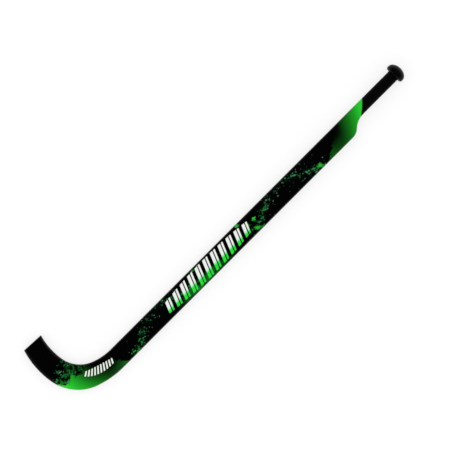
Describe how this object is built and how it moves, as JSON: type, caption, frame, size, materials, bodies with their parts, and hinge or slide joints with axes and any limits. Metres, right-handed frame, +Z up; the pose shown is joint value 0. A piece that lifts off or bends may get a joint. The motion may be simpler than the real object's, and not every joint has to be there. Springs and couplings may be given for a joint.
{
  "type": "roller hockey goalie stick",
  "caption": "J-shaped laminated goalkeeper's stick with a wide flat paddle, a bent blade, a short rubber-sleeved handle and a mushroom end knob.",
  "frame": {"origin": "middle of the base of the bounding box, on the floor that the stick lies on", "axes": "+X up the handle towards the knob, +Y across the stick towards the toe, inside the hook, and +Z up, out of the printed front face. The stick lies on its back on the knob and the heel, so its front face is tipped back by 0.74 degrees about Y."},
  "size_m": [0.9048, 0.1586, 0.039],
  "materials": {
    "core_wood": "planed, unfinished inside",
    "glass_fibre": "glass cloth in clear resin",
    "print_film": "satin printed film, black with green",
    "grip_rubber": "matte moulded",
    "knob_rubber": "satin moulded"
  },
  "bodies": {
    "root": {"core_ply_1": "core_wood", "core_ply_2": "core_wood", "core_ply_3": "core_wood", "core_ply_4": "core_wood", "core_ply_5": "core_wood", "core_ply_6": "core_wood", "core_ply_7": "core_wood", "front_glass_skin": "glass_fibre", "back_glass_skin": "glass_fibre", "front_print_film": "print_film", "back_print_film": "print_film", "grip_sleeve": "grip_rubber", "end_knob": "knob_rubber"}
  },
  "joints": []
}
